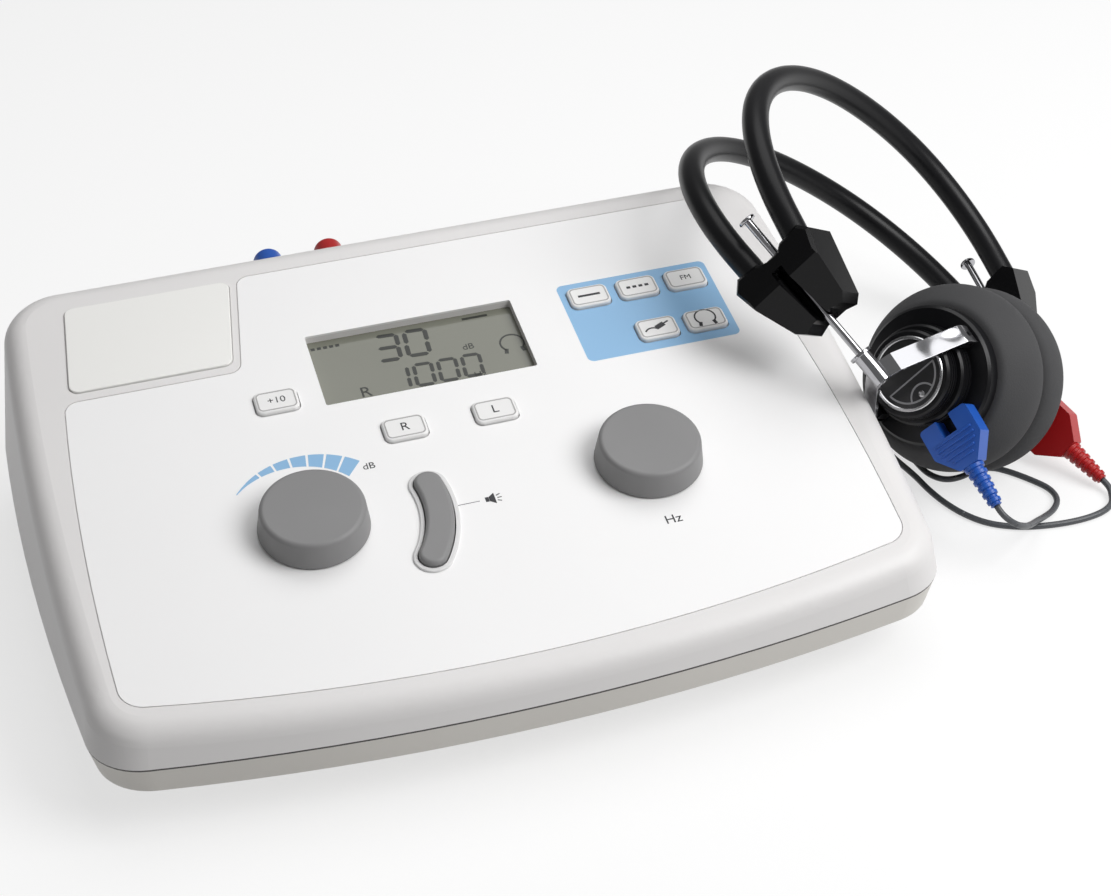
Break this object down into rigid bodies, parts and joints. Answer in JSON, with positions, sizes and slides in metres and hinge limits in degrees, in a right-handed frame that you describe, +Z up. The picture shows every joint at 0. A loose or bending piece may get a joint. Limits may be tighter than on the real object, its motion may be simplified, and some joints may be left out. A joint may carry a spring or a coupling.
{
  "type": "audiometer",
  "caption": "Desktop screening audiometer with a sloping control panel, display, keys, two dials, tone bar and a wired two-earphone headset lying beside it.",
  "frame": {"origin": "on the table under the middle of the console", "axes": "+X to the user's right, +Y to the rear of the console, +Z up"},
  "size_m": [0.4243, 0.2994, 0.1393],
  "materials": {
    "case_cream": "fine moulded texture",
    "case_grey": "fine moulded texture",
    "panel_film": "printed film",
    "panel_blue": "printed film",
    "plate_cream": "smooth",
    "lcd_glass": "clear",
    "lcd_body": "matte",
    "surround_white": "satin",
    "board_green": "solder resist",
    "component_black": "matte",
    "socket_black": "satin",
    "foot_rubber": "matte",
    "screw_steel": "zinc",
    "key_cream": "satin",
    "knob_grey": "satin",
    "shaft_steel": "turned",
    "band_black": "satin sleeve",
    "block_black": "satin",
    "rod_chrome": "polished",
    "earphone_black": "satin",
    "driver_metal": "dull",
    "cushion_rubber": "matte",
    "marker_blue": "satin",
    "marker_red": "satin",
    "lead_grey": "satin jacket"
  },
  "bodies": {
    "console": {"upper_case": "case_cream", "lower_case": "case_grey", "front_overlay": "panel_film", "function_label": "panel_blue", "name_plate": "plate_cream", "lcd_window": "lcd_glass", "lcd_module": "lcd_body", "tone_bar_surround": "surround_white", "main_board": "board_green", "board_components": "component_black", "key_switches": "component_black", "rotary_encoders": "component_black", "headset_jacks": "socket_black", "response_jack": "socket_black", "power_inlet": "socket_black", "power_switch_frame": "socket_black", "feet": "foot_rubber", "case_screws": "screw_steel", "blue_cord": "lead_grey", "red_cord": "lead_grey", "blue_cord_tail": "lead_grey", "red_cord_tail": "lead_grey", "blue_cord_coil": "lead_grey", "red_cord_coil": "lead_grey", "blue_plug": "marker_blue", "red_plug": "marker_red"},
    "plus_10_db_key_body": {"plus_10_db_key": "key_cream"},
    "right_key_body": {"right_key": "key_cream"},
    "left_key_body": {"left_key": "key_cream"},
    "tone_key_body": {"tone_key": "key_cream"},
    "pulse_key_body": {"pulse_key": "key_cream"},
    "fm_key_body": {"fm_key": "key_cream"},
    "talk_key_body": {"talk_key": "key_cream"},
    "headphone_key_body": {"headphone_key": "key_cream"},
    "tone_bar_body": {"tone_bar": "knob_grey"},
    "level_dial": {"level_knob": "knob_grey", "level_shaft": "shaft_steel"},
    "frequency_dial": {"frequency_knob": "knob_grey", "frequency_shaft": "shaft_steel"},
    "rocker": {"power_rocker": "socket_black"},
    "headset": {"near_band_tube_a": "band_black", "near_band_tube_b": "band_black", "near_block": "block_black"},
    "far_half": {"far_band_tube_a": "band_black", "far_band_tube_b": "band_black", "far_block": "block_black"},
    "near_slider": {"near_rod": "rod_chrome", "near_yoke": "rod_chrome"},
    "near_earphone": {"near_earphone_case": "earphone_black", "near_driver": "driver_metal", "near_cushion": "cushion_rubber", "blue_connector": "marker_blue", "blue_strain_relief": "marker_blue"},
    "far_slider": {"far_rod": "rod_chrome", "far_yoke": "rod_chrome"},
    "far_earphone": {"far_earphone_case": "earphone_black", "far_driver": "driver_metal", "far_cushion": "cushion_rubber", "red_connector": "marker_red", "red_strain_relief": "marker_red"}
  },
  "joints": [
    {"name": "plus_10_db_key_press", "type": "slide", "parent": "console", "child": "plus_10_db_key_body", "axis": [0, 0.2079, -0.9781], "range_m": [0, 0.0006], "stiffness_N_per_m": 1000, "springref_m": -0.0005},
    {"name": "right_key_press", "type": "slide", "parent": "console", "child": "right_key_body", "axis": [0, 0.2079, -0.9781], "range_m": [0, 0.0006], "stiffness_N_per_m": 1000, "springref_m": -0.0005},
    {"name": "left_key_press", "type": "slide", "parent": "console", "child": "left_key_body", "axis": [0, 0.2079, -0.9781], "range_m": [0, 0.0006], "stiffness_N_per_m": 1000, "springref_m": -0.0005},
    {"name": "tone_key_press", "type": "slide", "parent": "console", "child": "tone_key_body", "axis": [0, 0.2079, -0.9781], "range_m": [0, 0.0006], "stiffness_N_per_m": 1000, "springref_m": -0.0005},
    {"name": "pulse_key_press", "type": "slide", "parent": "console", "child": "pulse_key_body", "axis": [0, 0.2079, -0.9781], "range_m": [0, 0.0006], "stiffness_N_per_m": 1000, "springref_m": -0.0005},
    {"name": "fm_key_press", "type": "slide", "parent": "console", "child": "fm_key_body", "axis": [0, 0.2079, -0.9781], "range_m": [0, 0.0006], "stiffness_N_per_m": 1000, "springref_m": -0.0005},
    {"name": "talk_key_press", "type": "slide", "parent": "console", "child": "talk_key_body", "axis": [0, 0.2079, -0.9781], "range_m": [0, 0.0006], "stiffness_N_per_m": 1000, "springref_m": -0.0005},
    {"name": "headphone_key_press", "type": "slide", "parent": "console", "child": "headphone_key_body", "axis": [0, 0.2079, -0.9781], "range_m": [0, 0.0006], "stiffness_N_per_m": 1000, "springref_m": -0.0005},
    {"name": "tone_bar_press", "type": "slide", "parent": "console", "child": "tone_bar_body", "axis": [0, 0.2079, -0.9781], "range_m": [0, 0.001], "stiffness_N_per_m": 900, "springref_m": -0.0008},
    {"name": "level_turn", "type": "hinge", "parent": "console", "child": "level_dial", "pos_m": [-0.0592, -0.03318, 0.05655], "axis": [0, -0.2079, 0.9781], "continuous": true},
    {"name": "frequency_turn", "type": "hinge", "parent": "console", "child": "frequency_dial", "pos_m": [0.0592, -0.03318, 0.05655], "axis": [0, -0.2079, 0.9781], "continuous": true},
    {"name": "rocker_tip", "type": "hinge", "parent": "console", "child": "rocker", "pos_m": [0.092, 0.10915, 0.056], "axis": [1, 0, 0], "range_deg": [-20, 0]},
    {"name": "headset_lift", "type": "slide", "parent": "console", "child": "headset", "axis": [0, 0, 1], "range_m": [0, 0.12], "deforming": ["blue_cord", "red_cord"]},
    {"name": "band_flex", "type": "hinge", "parent": "headset", "child": "far_half", "pos_m": [0.16694, 0.12223, 0.10362], "axis": [0.6226, -0.2403, 0.7447], "range_deg": [0, 60], "stiffness_Nm_per_rad": 0.8, "springref_deg": -20.05},
    {"name": "near_rod_slide", "type": "slide", "parent": "headset", "child": "near_slider", "axis": [0.4222, -0.6981, -0.5783], "range_m": [0, 0.01]},
    {"name": "near_earphone_tilt", "type": "hinge", "parent": "near_slider", "child": "near_earphone", "pos_m": [0.17157, -0.01462, 0.05559], "axis": [-0.6226, 0.2403, -0.7447], "range_deg": [-4, 4]},
    {"name": "far_rod_slide", "type": "slide", "parent": "far_half", "child": "far_slider", "axis": [-0.002, -0.9522, -0.3056], "range_m": [-0.009, 0.01]},
    {"name": "far_earphone_tilt", "type": "hinge", "parent": "far_slider", "child": "far_earphone", "pos_m": [0.22401, 0.01679, 0.02189], "axis": [-0.6226, 0.2403, -0.7447], "range_deg": [-4, 4]}
  ]
}
